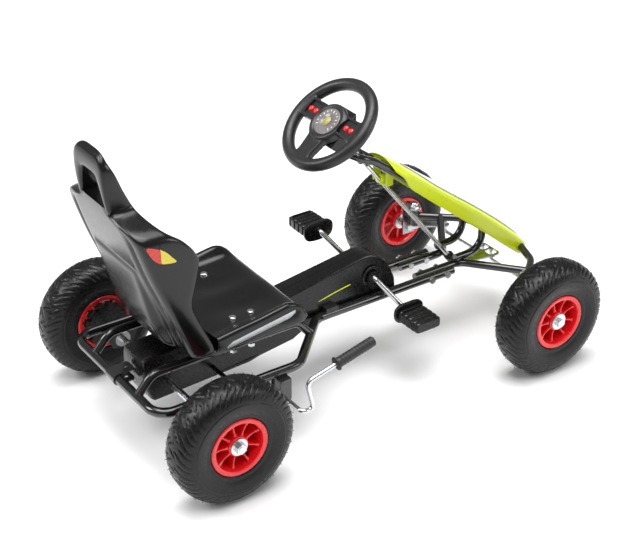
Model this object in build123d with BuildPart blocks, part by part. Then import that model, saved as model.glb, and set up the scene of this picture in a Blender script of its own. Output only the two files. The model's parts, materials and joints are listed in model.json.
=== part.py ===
from build123d import *
import os
from math import atan2, cos, degrees, hypot, radians, sin

os.makedirs("parts", exist_ok=True)

# Pedal go kart. Millimetres, +X forward, +Y to the driver's left, +Z up, ground at Z 0.

# ---- driving dimensions ----
wheelbase = 795
rear_track = 543
front_track = 552
tyre_radius = 130
tyre_width = 85
nose_reach = 940              # hood nose, forward of the rear axle
rim_radius = 61.6
rim_width = 72
hub_radius = 21
hub_length = 62
spoke_count = 9
running_gap = 0.4             # between parts that turn against each other
shaft_gap = 0.05              # radial clearance of a shaft in its bore
seam = 0.3                    # between moulded parts that only lie side by side

frame_tube = 20               # rear frame
front_tube = 18               # front frame and steering support
frame_height = 160            # centre line of the lower frame tubes
frame_half_width = 172
spine_half_gap = 46.5         # the two lower tubes beside the chain guard
rear_overhang = 98            # rear crossbar, behind the axle
splice_start = 625            # front frame tubes begin here, beside the rear ones
splice_end = 715
flare_start = 748
rail_tube = 18
rail_half_gap = 90
rail_height = 200

axle_diameter = 14
stub_diameter = 12
kingpin_diameter = 12
kingpin_half_gap = 195
knuckle_plate = 4

crank_x = 504
crank_height = 204
crank_rod = 12
pedal_throw = 76
pedal_angle = -56             # right pedal, below the forward horizontal
pedal_offset = 104            # inner face of the pedal flange from the centre plane
pedal_length = 76
pedal_width = 64
pedal_thickness = 26
chain_pitch = 12.7
crank_teeth = 18
axle_teeth = 12
guard_wall = 2.5

seat_half_width = 150
seat_floor = 262
seat_wall = 28

steering_x = 415              # centre of the steering wheel
steering_height = 570
steering_tilt = 51            # the shaft runs down and forward at this angle
steering_wheel_radius = 97.5  # centre line of the rim
steering_grip = 27
steering_shaft_diameter = 10
lever_reach = 855             # ball ends of the tie rods, forward of the rear axle
tie_rod_height = 128
tie_rod_half_span = 150
button_travel = 1.5

hood_half_width = 62
hood_wall = 2.5
hood_skirt = 35

brake_rod = 10
brake_x = 178
brake_height = 107
brake_arm_y = 246

rear_axle_x = -(nose_reach - tyre_radius) / 2
sides = (("left", 1), ("right", -1))


def ahead(distance):
    """X of a point this far forward of the rear axle."""
    return rear_axle_x + distance


def save(part, name):
    part.label = name
    export_step(part, f"parts/{name}.step")


def bent_bar(points, radii, diameter):
    """Round bar along straight runs joined by bends."""
    with BuildPart() as bar:
        with BuildLine() as route:
            FilletPolyline(*points, radius=radii)
        path = route.wires()[0]
        with BuildSketch(Plane(origin=path @ 0, z_dir=path % 0)):
            Circle(diameter / 2)
        sweep(path=path)
    return bar.part


def rod_between(start, end, diameter):
    """Straight round rod from one point to another."""
    axis = Vector(*end) - Vector(*start)
    with BuildPart() as rod:
        with BuildSketch(Plane(origin=start, z_dir=axis)):
            Circle(diameter / 2)
        extrude(amount=axis.length)
    return rod.part


# ---- rear frame: bent tubes ----
hoop_join = ahead(-20)
rear_hoop = bent_bar(
    [(hoop_join, frame_half_width, frame_height),
     (ahead(-rear_overhang), frame_half_width, frame_height),
     (ahead(-rear_overhang), -frame_half_width, frame_height),
     (hoop_join, -frame_half_width, frame_height)],
    38, frame_tube)
save(rear_hoop, "rear_hoop")

waist_start = 225             # the side tubes turn inward here
waist_run = frame_half_width - spine_half_gap
splice_bolt = 8
splice_bolts_x = (649, 692)
splice_holes = []
for x in splice_bolts_x:
    splice_holes.append(rod_between((ahead(x), -90, frame_height), (ahead(x), 90, frame_height), splice_bolt))


def drilled(bar, rods):
    """The bar with a hole where each rod passes through it."""
    with BuildPart() as result:
        add(bar)
        for rod in rods:
            add(rod, mode=Mode.SUBTRACT)
    return result.part


side_tubes = {}
for name, side in sides:
    side_bar = bent_bar(
        [(hoop_join, side * frame_half_width, frame_height),
         (ahead(waist_start), side * frame_half_width, frame_height),
         (ahead(waist_start + waist_run), side * spine_half_gap, frame_height),
         (ahead(splice_end), side * spine_half_gap, frame_height)],
        [48, 48], frame_tube)
    side_tubes[name] = drilled(side_bar, splice_holes)
    save(side_tubes[name], f"side_tube_{name}")

# Seat rails rise from the crossbar and come down on the slanted part of the side tubes.
rail_end = waist_start + frame_half_width - rail_half_gap
seat_bolt = 8
seat_bolts_x = (121, 163)
for name, side in sides:
    rail_holes = []
    for x in seat_bolts_x:
        rail_holes.append(rod_between((ahead(x), side * rail_half_gap, 150), (ahead(x), side * rail_half_gap, 300),
                                      seat_bolt))
    rail = bent_bar(
        [(ahead(-rear_overhang), side * rail_half_gap, frame_height),
         (ahead(-62), side * rail_half_gap, rail_height),
         (ahead(rail_end - 34), side * rail_half_gap, rail_height),
         (ahead(rail_end), side * rail_half_gap, frame_height)],
        [40, 22], rail_tube)
    with BuildPart() as seat_rail:
        add(rail)
        add(rear_hoop, mode=Mode.SUBTRACT)
        add(side_tubes[name], mode=Mode.SUBTRACT)
        add(rail_holes, mode=Mode.SUBTRACT)
    trimmed = seat_rail.part.solids().sort_by(SortBy.VOLUME)[-1]
    save(Part(trimmed.wrapped), f"seat_rail_{name}")

# Stays under the side tubes carry the chain guard.
stay_x = ahead(103)
stay_height = 126
stay_rod = 10
guard_rear_half = 42
stays = []
for name, side in sides:
    stay = bent_bar(
        [(stay_x, side * (guard_rear_half + seam), stay_height),
         (stay_x, side * frame_half_width, stay_height),
         (stay_x, side * frame_half_width, frame_height)],
        14, stay_rod)
    with BuildPart() as guard_stay:
        add(stay)
        add(side_tubes[name], mode=Mode.SUBTRACT)
    stays.append(guard_stay.part.solids().sort_by(Axis.Z)[0])
save(Compound(children=stays), "guard_stays")

# Axle brackets hang below the side tubes.
bracket_y = 158
bearing_radius = 12
brackets = []
bearings = []
for name, side in sides:
    with BuildPart() as bracket:
        with BuildSketch(Plane(origin=(ahead(0), side * bracket_y, tyre_radius), x_dir=(1, 0, 0),
                               z_dir=(0, -1, 0))) as plate:
            with BuildLine():
                Polyline((-44, frame_height - tyre_radius), (44, frame_height - tyre_radius),
                         (22, -20), (-22, -20), close=True)
            make_face()
            fillet(plate.vertices().group_by(Axis.Y)[0], 10)
            Circle(bearing_radius, mode=Mode.SUBTRACT)
        extrude(amount=knuckle_plate / 2, both=True)
        with BuildSketch(Plane(origin=(ahead(0), side * bracket_y, frame_height))):
            Rectangle(60, knuckle_plate)
            with Locations((0, side * (frame_half_width - frame_tube / 2 - bracket_y) / 2)):
                Rectangle(60, frame_half_width - frame_tube / 2 - bracket_y)
        extrude(amount=-knuckle_plate)
        add(side_tubes[name], mode=Mode.SUBTRACT)
        add(rear_hoop, mode=Mode.SUBTRACT)
    brackets.append(bracket.part)
    with BuildPart() as bearing:
        with BuildSketch(Plane(origin=(ahead(0), side * (bracket_y + 6), tyre_radius), z_dir=(0, -side, 0))):
            Circle(bearing_radius)
        extrude(amount=12)
        with BuildSketch(Plane(origin=(ahead(0), side * (bracket_y - knuckle_plate / 2), tyre_radius),
                               z_dir=(0, -side, 0))):
            Circle(bearing_radius + 5)
        extrude(amount=3)
        with BuildSketch(Plane(origin=(ahead(0), side * (bracket_y + 8), tyre_radius), z_dir=(0, -side, 0))):
            Circle(axle_diameter / 2 + shaft_gap)
        extrude(amount=16, mode=Mode.SUBTRACT)
    bearings.append(bearing.part)
save(Compound(children=brackets), "axle_brackets")
save(Compound(children=bearings), "axle_bearings")

# Trailer hitch: a strip folded round the crossbar, its two ears bored for a pin.
hitch_width = 34
hitch_strip = 3
hitch_reach = 24              # pin hole, forward of the crossbar
hitch_hole = 8
with BuildPart() as hitch_bracket:
    with BuildSketch(Plane(origin=(ahead(-rear_overhang), hitch_width / 2, frame_height), z_dir=(0, 1, 0),
                           x_dir=(1, 0, 0))):
        Circle(frame_tube / 2 + hitch_strip)
        with Locations(((hitch_reach - 13) / 2 + 13, 0)):
            Rectangle(hitch_reach + 13, frame_tube + 2 * hitch_strip)
        with Locations((hitch_reach / 2 + 13, 0)):
            Rectangle(hitch_reach + 26, frame_tube, mode=Mode.SUBTRACT)
        Circle(frame_tube / 2, mode=Mode.SUBTRACT)
    extrude(amount=-hitch_width)
    with BuildSketch(Plane(origin=(ahead(hitch_reach - rear_overhang), 0, frame_height - frame_tube))):
        Circle(hitch_hole / 2)
    extrude(amount=2 * frame_tube, mode=Mode.SUBTRACT)
    fillet(hitch_bracket.edges().filter_by(Axis.Z).group_by(Axis.X)[-1], 9)
save(hitch_bracket.part, "hitch_bracket")

# ---- front frame ----
splice_gap = (frame_tube + front_tube) / 2
inner_tube_y = spine_half_gap - splice_gap
beam_height = 166
sleeve_radius = 13
sleeve_bottom = 147
sleeve_top = 185
flare_end = (841, 155)

beam_bar = bent_bar(
    [(ahead(wheelbase), kingpin_half_gap, beam_height),
     (ahead(880), 121, beam_height), (ahead(906), 50, beam_height),
     (ahead(906), -50, beam_height), (ahead(880), -121, beam_height),
     (ahead(wheelbase), -kingpin_half_gap, beam_height)],
    [60, 50, 50, 60], front_tube)
with BuildPart() as front_beam:
    add(beam_bar)
    for name, side in sides:
        with BuildSketch(Plane(origin=(ahead(wheelbase), side * kingpin_half_gap, sleeve_bottom))):
            Circle(sleeve_radius)
        extrude(amount=sleeve_top - sleeve_bottom)
    with Locations((ahead(wheelbase), kingpin_half_gap, sleeve_top), (ahead(wheelbase), -kingpin_half_gap, sleeve_top)):
        Hole(kingpin_diameter / 2 + shaft_gap, depth=sleeve_top - sleeve_bottom)
save(front_beam.part, "front_beam")

front_tubes = {}
for name, side in sides:
    flare = bent_bar(
        [(ahead(splice_start), side * inner_tube_y, frame_height),
         (ahead(flare_start), side * inner_tube_y, frame_height),
         (ahead(flare_end[0]), side * flare_end[1], beam_height)],
        40, front_tube)
    with BuildPart() as front_side:
        add(flare)
        add(front_beam.part, mode=Mode.SUBTRACT)
        add(splice_holes, mode=Mode.SUBTRACT)
    front_tubes[name] = Part(front_side.part.solids().sort_by(SortBy.VOLUME)[-1].wrapped)
    save(front_tubes[name], f"front_tube_{name}")

# Steering support: one hairpin tube, its lower ends curled back onto the front tubes.
support_tube = 17
support_half_gap = 34
support_slope = 0.733         # fall per millimetre forward
support_front = 806
support_knee = 254            # height where the slope meets the upright part of the curl
support_top = 453
support_kink = 500            # the arms level off a little before the crown
support_crown = 499
support_heel = 732
support_foot = frame_height + (front_tube + support_tube) / 2 + 0.8
support_kink_height = support_knee + support_slope * (support_front - support_kink)
steering_support = bent_bar(
    [(ahead(support_heel), support_half_gap, support_foot),
     (ahead(support_front), support_half_gap, support_foot),
     (ahead(support_front), support_half_gap, support_knee),
     (ahead(support_kink), support_half_gap, support_kink_height),
     (ahead(support_top), support_half_gap, support_crown),
     (ahead(support_top), -support_half_gap, support_crown),
     (ahead(support_kink), -support_half_gap, support_kink_height),
     (ahead(support_front), -support_half_gap, support_knee),
     (ahead(support_front), -support_half_gap, support_foot),
     (ahead(support_heel), -support_half_gap, support_foot)],
    [37, 37, 60, 33, 33, 60, 37, 37], support_tube)
save(steering_support, "steering_support")

# ---- chain guard: two shells that meet on the centre plane ----
chain_y = 14
guard_front_half = spine_half_gap - frame_tube / 2 - 0.4
guard_top_half = 26
guard_nose_x = 490            # centre of the rounded nose
guard_nose_reach = 77
guard_step = 205              # the rear part is wider than the front part


def guard_side(inset):
    """Side outline of the guard, drawn on the centre plane, shrunk by inset."""
    with BuildSketch(Plane(origin=(ahead(0), 0, 0), x_dir=(1, 0, 0), z_dir=(0, -1, 0))) as outline:
        with BuildLine():
            Polyline((545, 150), (325, 132), (300, 119), (216, 108), (-34, 96), (-51, 127),
                     (-59, 160), (-56, 198), (285, 222), (480, 253), (guard_nose_x, 254))
            ThreePointArc((guard_nose_x, 254), (guard_nose_x + 0.7 * guard_nose_reach, 229.5),
                          (guard_nose_x + guard_nose_reach, 160))
            Line((guard_nose_x + guard_nose_reach, 160), (545, 150))
        make_face()
        if inset:
            offset(amount=-inset, kind=Kind.INTERSECTION)
    return outline.sketch


def guard_block(side, inset):
    """One side of the guard as a solid, its faces moved inward by inset."""
    outline = guard_side(inset)
    with BuildPart() as block:
        add(outline)
        extrude(amount=60, dir=(0, side, 0))
        with BuildSketch(Plane(origin=(ahead(-120), 0, 0), x_dir=(0, side, 0), z_dir=(side, 0, 0))):
            Polygon((0, 60), (guard_rear_half - inset, 60), (guard_rear_half - inset, 185),
                    (guard_top_half + 6 - inset, 262), (0, 262), align=None)
        extrude(amount=side * 710, mode=Mode.INTERSECT)
        with BuildSketch(Plane(origin=(ahead(guard_step - inset), 0, 0), x_dir=(0, side, 0), z_dir=(side, 0, 0))):
            Polygon((guard_front_half - inset, 60), (90, 60), (90, 262), (guard_top_half - inset, 262),
                    (guard_top_half - inset, 250), (guard_front_half - inset, 172), align=None)
        extrude(amount=side * 420, mode=Mode.SUBTRACT)
    return block.part


guards = {}
for name, side in sides:
    outer_block = guard_block(side, 0)
    inner_block = guard_block(side, guard_wall)
    with BuildPart() as guard:
        add(outer_block)
        add(inner_block, mode=Mode.SUBTRACT)
        with BuildSketch(Plane(origin=(ahead(0), 0, tyre_radius), z_dir=(0, side, 0))):
            Circle(axle_diameter / 2 + 1.5)
        extrude(amount=60, mode=Mode.SUBTRACT)
        with BuildSketch(Plane(origin=(ahead(crank_x), 0, crank_height), z_dir=(0, side, 0))):
            Circle(crank_rod / 2 + 1.5)
        extrude(amount=60, mode=Mode.SUBTRACT)
    guards[name] = guard.part
    save(guard.part, f"guard_{name}")

# ---- drive: crank, pedals, axle, chain ----
pedal_rise = radians(pedal_angle)
pedal_points = {}
for name, side in sides:
    pedal_points[name] = (ahead(crank_x) - side * pedal_throw * cos(pedal_rise),
                          crank_height - side * pedal_throw * sin(pedal_rise))
flange_thickness = 8
spindle_end = pedal_offset + pedal_length - 6
crank_route = []
for name, side in sides:
    x, z = pedal_points[name]
    throw = [(x, side * spindle_end, z), (x, side * (pedal_offset - 9), z),
             (ahead(crank_x), side * 44, crank_height)]
    crank_route += throw if side > 0 else throw[::-1]
save(bent_bar(crank_route, [12, 14, 14, 12], crank_rod), "crank")


def sprocket(teeth, bore, thickness):
    """Flat sprocket lying on the XY plane, centred on its thickness."""
    pitch_radius = chain_pitch / 2 / sin(radians(180 / teeth))
    root_radius = pitch_radius - 3.9
    with BuildPart() as wheel:
        with BuildSketch():
            Circle(root_radius)
            with PolarLocations(pitch_radius - 1.2, teeth, start_angle=180 / teeth):
                Trapezoid(6.4, 8, 78, rotation=-90)
            Circle(bore / 2, mode=Mode.SUBTRACT)
        extrude(amount=thickness / 2, both=True)
        with BuildSketch():
            Circle(bore / 2 + 6)
            Circle(bore / 2, mode=Mode.SUBTRACT)
        extrude(amount=9, both=True)
    return wheel.part


tooth_thickness = 2.8
crank_sprocket = sprocket(crank_teeth, crank_rod, tooth_thickness)
save(Plane(origin=(ahead(crank_x), chain_y, crank_height), z_dir=(0, 1, 0)) * crank_sprocket, "crank_sprocket")
rear_sprocket = sprocket(axle_teeth, axle_diameter, tooth_thickness)
save(Plane(origin=(ahead(0), chain_y, tyre_radius), z_dir=(0, 1, 0)) * rear_sprocket, "rear_sprocket")

# Chain: two rows of side plates; the teeth run between them.
crank_pitch_radius = chain_pitch / 2 / sin(radians(180 / crank_teeth))
axle_pitch_radius = chain_pitch / 2 / sin(radians(180 / axle_teeth))
chain_run = hypot(crank_x, crank_height - tyre_radius)
chain_fall = degrees(atan2(crank_height - tyre_radius, crank_x))
chain_plane = Plane(origin=(ahead(0), chain_y, tyre_radius),
                    x_dir=(cos(radians(chain_fall)), 0, sin(radians(chain_fall))), z_dir=(0, -1, 0))
wrap = degrees(atan2(crank_pitch_radius - axle_pitch_radius, chain_run))
rollers_per_run = int(chain_run / chain_pitch) - 8
with BuildPart() as chain:
    for lift in (1, -1):
        with BuildSketch(chain_plane.offset(lift * (tooth_thickness / 2 + 1.9))):
            for grow, mode in ((4, Mode.ADD), (-4, Mode.SUBTRACT)):
                with BuildSketch(mode=Mode.PRIVATE) as loop:
                    Circle(axle_pitch_radius + grow)
                    with Locations((chain_run, 0)):
                        Circle(crank_pitch_radius + grow)
                    make_hull()
                add(loop.sketch, mode=mode)
        extrude(amount=0.7, both=True)
    for turn in (1, -1):
        with BuildSketch(chain_plane):
            with Locations(Location((0, 0), turn * wrap)):
                with Locations((chain_run / 2, turn * axle_pitch_radius)):
                    with GridLocations(chain_pitch, 1, rollers_per_run, 1):
                        Circle(3.4)
        extrude(amount=tooth_thickness / 2 + 1.9, both=True)
save(chain.part, "chain")

axle_end = rear_track / 2 + 44
with BuildPart() as rear_axle:
    with BuildSketch(Plane(origin=(ahead(0), -axle_end, tyre_radius), z_dir=(0, 1, 0))):
        Circle(axle_diameter / 2)
    extrude(amount=2 * axle_end)
save(rear_axle.part, "rear_axle")


# ---- wheels ----
barrel_radius = rim_radius - 3.6


def make_rim(bore):
    """Moulded rim on the XY plane: barrel with two flanges, spokes and a long hub."""
    half = rim_width / 2
    with BuildPart() as rim:
        with BuildSketch(Plane.XZ):
            with BuildLine():
                Polyline((barrel_radius - 4, -half), (rim_radius, -half), (rim_radius, 3 - half),
                         (barrel_radius, 3 - half), (barrel_radius, half - 3), (rim_radius, half - 3),
                         (rim_radius, half), (barrel_radius - 4, half), close=True)
            make_face()
        revolve(axis=Axis.Z)
        with BuildSketch():
            Circle(hub_radius)
        extrude(amount=hub_length / 2, both=True)
        with BuildSketch():
            with PolarLocations((hub_radius + barrel_radius) / 2 - 2, spoke_count):
                Rectangle(barrel_radius - hub_radius, 9)
        extrude(amount=half - 14, both=True)
        with BuildSketch():
            Circle(barrel_radius - 2)
        extrude(amount=3, both=True)
        with BuildSketch():
            Circle(bore / 2)
        extrude(amount=hub_length, both=True, mode=Mode.SUBTRACT)
    return rim.part


def make_tyre():
    """Solid tyre on the XY plane, rounded tread, beads between the rim flanges."""
    bead = rim_width / 2 - 3.2
    bulge = tyre_width / 2
    with BuildPart() as tyre:
        with BuildSketch(Plane.XZ):
            with BuildLine():
                Line((barrel_radius, -bead), (barrel_radius, bead))
                Line((barrel_radius, bead), (rim_radius + 0.3, bead))
                Line((rim_radius + 0.3, bead), (70, bead + 3.5))
                Spline((70, bead + 3.5), (94, bulge), (tyre_radius - 5.5, 30), tangents=((1, 0.4), (0.3, -1)))
                ThreePointArc((tyre_radius - 5.5, 30), (tyre_radius, 0), (tyre_radius - 5.5, -30))
                Spline((tyre_radius - 5.5, -30), (94, -bulge), (70, -bead - 3.5), tangents=((-0.3, -1), (-1, 0.4)))
                Line((70, -bead - 3.5), (rim_radius + 0.3, -bead))
                Line((rim_radius + 0.3, -bead), (barrel_radius, -bead))
            make_face()
        revolve(axis=Axis.Z)
    return tyre.part


tyre_part = make_tyre()
front_rim = make_rim(stub_diameter + 2 * shaft_gap)
rear_rim = make_rim(axle_diameter + 2 * shaft_gap)
fixed_rim = make_rim(axle_diameter)
hub_end = hub_length / 2
ring_thickness = 2.5
for end, wheel_x, track in (("front", ahead(wheelbase), front_track), ("rear", ahead(0), rear_track)):
    for name, side in sides:
        outward = Plane(origin=(wheel_x, side * track / 2, tyre_radius), z_dir=(0, side, 0))
        rim_part = front_rim if end == "front" else fixed_rim if name == "left" else rear_rim
        save(outward * tyre_part, f"tyre_{end}_{name}")
        save(outward * rim_part, f"rim_{end}_{name}")
        shaft = stub_diameter if end == "front" else axle_diameter
        with BuildPart() as ring:
            with BuildSketch(outward.offset(hub_end)):
                Circle(hub_radius - 3)
                Circle(shaft / 2 + (0 if rim_part is fixed_rim else shaft_gap), mode=Mode.SUBTRACT)
            extrude(amount=ring_thickness)
            with BuildSketch(outward.offset(-hub_end)):
                Circle(hub_radius - 3)
                Circle(shaft / 2 + (0 if rim_part is fixed_rim else shaft_gap), mode=Mode.SUBTRACT)
            extrude(amount=-ring_thickness)
        save(ring.part, f"hub_rings_{end}_{name}")

# Nuts on the ends of the rear axle.
nut_start = rear_track / 2 + hub_end + ring_thickness + running_gap
nuts = []
for name, side in sides:
    with BuildPart() as nut:
        with BuildSketch(Plane(origin=(ahead(0), side * nut_start, tyre_radius), z_dir=(0, side, 0))):
            RegularPolygon(11, 6)
            Circle(axle_diameter / 2, mode=Mode.SUBTRACT)
        extrude(amount=9)
    nuts.append(nut.part)
save(Compound(children=nuts), "axle_nuts")

# Ribbed disc that drives the left rear wheel.
drive_disc_radius = 48
with BuildPart() as drive_disc:
    with BuildSketch(Plane(origin=(ahead(0), rear_track / 2 - hub_end - ring_thickness, tyre_radius), z_dir=(0, -1, 0))):
        Circle(drive_disc_radius)
        with PolarLocations(drive_disc_radius - 3, 12):
            Circle(4, mode=Mode.SUBTRACT)
        Circle(axle_diameter / 2, mode=Mode.SUBTRACT)
    extrude(amount=14)
save(drive_disc.part, "drive_disc")

# ---- steering axis and the parts on it ----
tilt = radians(steering_tilt)
axis_down = Vector(cos(tilt), 0, -sin(tilt))
wheel_centre = Vector(ahead(steering_x), 0, steering_height)
driver_plane = Plane(origin=wheel_centre, x_dir=(0, -1, 0), z_dir=(-axis_down.X, 0, -axis_down.Z))


def down_shaft(distance):
    """Point on the steering axis this far below the wheel centre."""
    return wheel_centre + axis_down * distance


shaft_end = 548
lever_height = 145
lever_plate = 4
lever_slot_y = 14
lever_slot = (23, 22)           # room for the rod ends through the full lock
tie_rod_diameter = 8
with BuildPart() as steering_shaft:
    with BuildSketch(Plane(origin=down_shaft(12), z_dir=axis_down)):
        Circle(steering_shaft_diameter / 2)
    extrude(amount=shaft_end - 12)
    with BuildSketch(Plane(origin=(ahead(0), 0, lever_height - lever_plate / 2))) as lever:
        with Locations((760, 0)):
            Circle(12)
        with Locations((lever_reach, 19), (lever_reach, -19)):
            Circle(15)
        make_hull()
        for name, side in sides:
            with Locations((lever_reach, side * lever_slot_y)):
                RectangleRounded(*lever_slot, 5, mode=Mode.SUBTRACT)
    extrude(amount=lever_plate)
save(steering_shaft.part, "steering_shaft")

upper_bearing = 123
lower_bearing = 525
bearing_length = 14
bearings = []
for distance, gap in ((upper_bearing, support_half_gap - support_tube / 2), (lower_bearing, inner_tube_y - front_tube / 2)):
    with BuildPart() as carrier:
        with BuildSketch(Plane(origin=down_shaft(distance), x_dir=(0, -1, 0), z_dir=axis_down)):
            Circle(11)
            Rectangle(2 * gap, 14)
        extrude(amount=bearing_length / 2, both=True)
        with BuildSketch(Plane(origin=down_shaft(distance - bearing_length), z_dir=axis_down)):
            Circle(steering_shaft_diameter / 2 + shaft_gap)
        extrude(amount=2 * bearing_length, mode=Mode.SUBTRACT)
    bearings.append(carrier.part)
save(Compound(children=bearings), "steering_bearings")

# Steering wheel: rim, hub and three spokes; the spokes hold four buttons.
hub_disc = 43
spoke_face = 9
spoke_back = -7
button_radius = 7
button_spread = (52, 69)
button_lift = 8
grip_radius = steering_grip / 2
with BuildPart() as steering_wheel:
    with BuildSketch(driver_plane * Plane.XZ):
        with Locations((steering_wheel_radius, 0)):
            Circle(grip_radius)
    revolve(axis=Axis(driver_plane.origin, driver_plane.z_dir))
    with BuildSketch(driver_plane.offset(spoke_back - 4)):
        Circle(hub_disc)
    extrude(amount=17 - spoke_back)
    with BuildSketch(driver_plane.offset(spoke_back)):
        with Locations((0, 10)):
            Rectangle(2 * (steering_wheel_radius - 8), 44)
        Polygon((-26, -30), (26, -30), (18, -steering_wheel_radius + 6), (-18, -steering_wheel_radius + 6), align=None)
    extrude(amount=spoke_face - spoke_back)
    with BuildSketch(driver_plane.offset(spoke_face)):
        for side in (1, -1):
            with Locations((side * 61, 10)):
                RectangleRounded(34, 30, 6)
    extrude(amount=-3, mode=Mode.SUBTRACT)
    with BuildSketch(driver_plane.offset(spoke_face)):
        for spread in button_spread:
            with Locations((spread, button_lift), (-spread, button_lift)):
                Circle(button_radius + 0.4)
    extrude(amount=-11, mode=Mode.SUBTRACT)
    with BuildSketch(driver_plane.offset(11)):
        Circle(31)
    extrude(amount=4, mode=Mode.SUBTRACT)
    with BuildSketch(driver_plane.offset(-12)):
        Circle(steering_shaft_diameter / 2)
    extrude(amount=-20, mode=Mode.SUBTRACT)
save(steering_wheel.part, "steering_wheel")

with BuildPart() as dial:
    with BuildSketch(driver_plane.offset(11)):
        Circle(30.8)
    extrude(amount=4)
    fillet(dial.edges().filter_by(GeomType.CIRCLE).sort_by(Axis.Z)[-1], 2)
save(dial.part, "dial")

button_floor = spoke_face - 11
number = 0
for spread in (-button_spread[1], -button_spread[0], button_spread[0], button_spread[1]):
    number += 1
    with BuildPart() as button:
        with BuildSketch(driver_plane.offset(button_floor + button_travel + 0.5)):
            with Locations((spread, button_lift)):
                Circle(button_radius)
        extrude(amount=8.5)
        fillet(button.edges().filter_by(GeomType.CIRCLE).sort_by(Axis.Z)[-1], 3)
    save(button.part, f"button_{number}")

# Housing behind the wheel; it turns with the wheel round the shaft.
with BuildPart() as hub_housing:
    with BuildSketch(Plane(driver_plane.origin, x_dir=driver_plane.y_dir, z_dir=driver_plane.x_dir)) as flank:
        Polygon((-40, spoke_back - 4), (48, spoke_back - 4), (16, -52), (-30, -52), align=None)
        fillet(flank.vertices().group_by(Axis.X)[0] + flank.vertices().group_by(Axis.X)[1], 4)
    extrude(amount=33, both=True)
    fillet(hub_housing.edges().group_by(Axis.Y)[0], 5)
    fillet(hub_housing.edges().group_by(Axis.Y)[-1], 5)
    with BuildSketch(driver_plane.offset(spoke_back - 4)):
        Circle(steering_shaft_diameter / 2)
    extrude(amount=-60, mode=Mode.SUBTRACT)
save(hub_housing.part, "hub_housing")

# ---- front wheel carriers ----
flange_gap = 0.4
arm_plate = 4
web_y = kingpin_half_gap + 19
stub_inner = kingpin_half_gap + 11
stub_outer = front_track / 2 + hub_end + ring_thickness + running_gap
for name, side in sides:
    pin = (ahead(wheelbase), side * kingpin_half_gap)
    with BuildPart() as knuckle:
        for level in (sleeve_top + flange_gap, sleeve_bottom - flange_gap - arm_plate):
            with BuildSketch(Plane(origin=(pin[0], pin[1], level))):
                Circle(15)
                with Locations((0, side * 11)):
                    Rectangle(30, 24)
            extrude(amount=arm_plate)
        with BuildSketch(Plane(origin=(ahead(wheelbase), side * web_y, 0), x_dir=(1, 0, 0), z_dir=(0, side, 0))):
            with Locations((0, -side * (sleeve_top + flange_gap + arm_plate + 112) / 2)):
                Rectangle(34, sleeve_top + flange_gap + arm_plate - 112)
        extrude(amount=arm_plate)
        with BuildSketch(Plane(origin=(0, 0, sleeve_bottom - flange_gap - arm_plate))):
            with Locations(pin):
                Circle(15)
            with Locations((ahead(853), side * tie_rod_half_span)):
                Circle(10)
            make_hull()
            with Locations((ahead(853), side * tie_rod_half_span)):
                Circle(tie_rod_diameter / 2 + shaft_gap, mode=Mode.SUBTRACT)
        extrude(amount=arm_plate)
        with BuildSketch(Plane(origin=(pin[0], pin[1], 120))):
            Circle(kingpin_diameter / 2)
        extrude(amount=90, mode=Mode.SUBTRACT)
        with BuildSketch(Plane(origin=(ahead(wheelbase), side * stub_inner, tyre_radius), z_dir=(0, side, 0))):
            Circle(stub_diameter / 2)
        extrude(amount=30, mode=Mode.SUBTRACT)
    save(knuckle.part, f"knuckle_{name}")

    nut_height = 11
    with BuildPart() as kingpin:
        with BuildSketch(Plane(origin=(pin[0], pin[1], sleeve_bottom - flange_gap - arm_plate))):
            Circle(kingpin_diameter / 2)
        extrude(amount=sleeve_top - sleeve_bottom + 2 * (flange_gap + arm_plate))
        with BuildSketch(Plane(origin=(pin[0], pin[1], sleeve_bottom - flange_gap - arm_plate))):
            RegularPolygon(10, 6)
        extrude(amount=-7)
        with BuildSketch(Plane(origin=(pin[0], pin[1], sleeve_top + flange_gap + arm_plate))):
            RegularPolygon(11, 6)
        extrude(amount=7)
        with BuildSketch(Plane(origin=(pin[0], pin[1], sleeve_top + flange_gap + arm_plate + 7))):
            Circle(8.5)
        extrude(amount=nut_height - 6)
        fillet(kingpin.edges().filter_by(GeomType.CIRCLE).sort_by(Axis.Z)[-1], 4)

    with BuildPart() as stub:
        with BuildSketch(Plane(origin=(ahead(wheelbase), side * stub_inner, tyre_radius), z_dir=(0, side, 0))):
            RegularPolygon(10, 6)
        extrude(amount=web_y - stub_inner)
        with BuildSketch(Plane(origin=(ahead(wheelbase), side * web_y, tyre_radius), z_dir=(0, side, 0))):
            Circle(stub_diameter / 2)
        extrude(amount=stub_outer - web_y)
        with BuildSketch(Plane(origin=(ahead(wheelbase), side * (web_y + arm_plate), tyre_radius), z_dir=(0, side, 0))):
            Circle(9)
        extrude(amount=front_track / 2 - hub_end - ring_thickness - running_gap - web_y - arm_plate)
        with BuildSketch(Plane(origin=(ahead(wheelbase), side * stub_outer, tyre_radius), z_dir=(0, side, 0))):
            RegularPolygon(10, 6)
        extrude(amount=8)
    save(Compound(children=[kingpin.part, stub.part]), f"knuckle_pins_{name}")

    rod_top = sleeve_bottom + 6
    save(bent_bar([(ahead(853), side * tie_rod_half_span, rod_top),
                   (ahead(853), side * tie_rod_half_span, tie_rod_height),
                   (ahead(lever_reach), side * lever_slot_y, tie_rod_height),
                   (ahead(lever_reach), side * lever_slot_y, rod_top)],
                  [7, 7], tie_rod_diameter), f"tie_rod_{name}")

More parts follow.
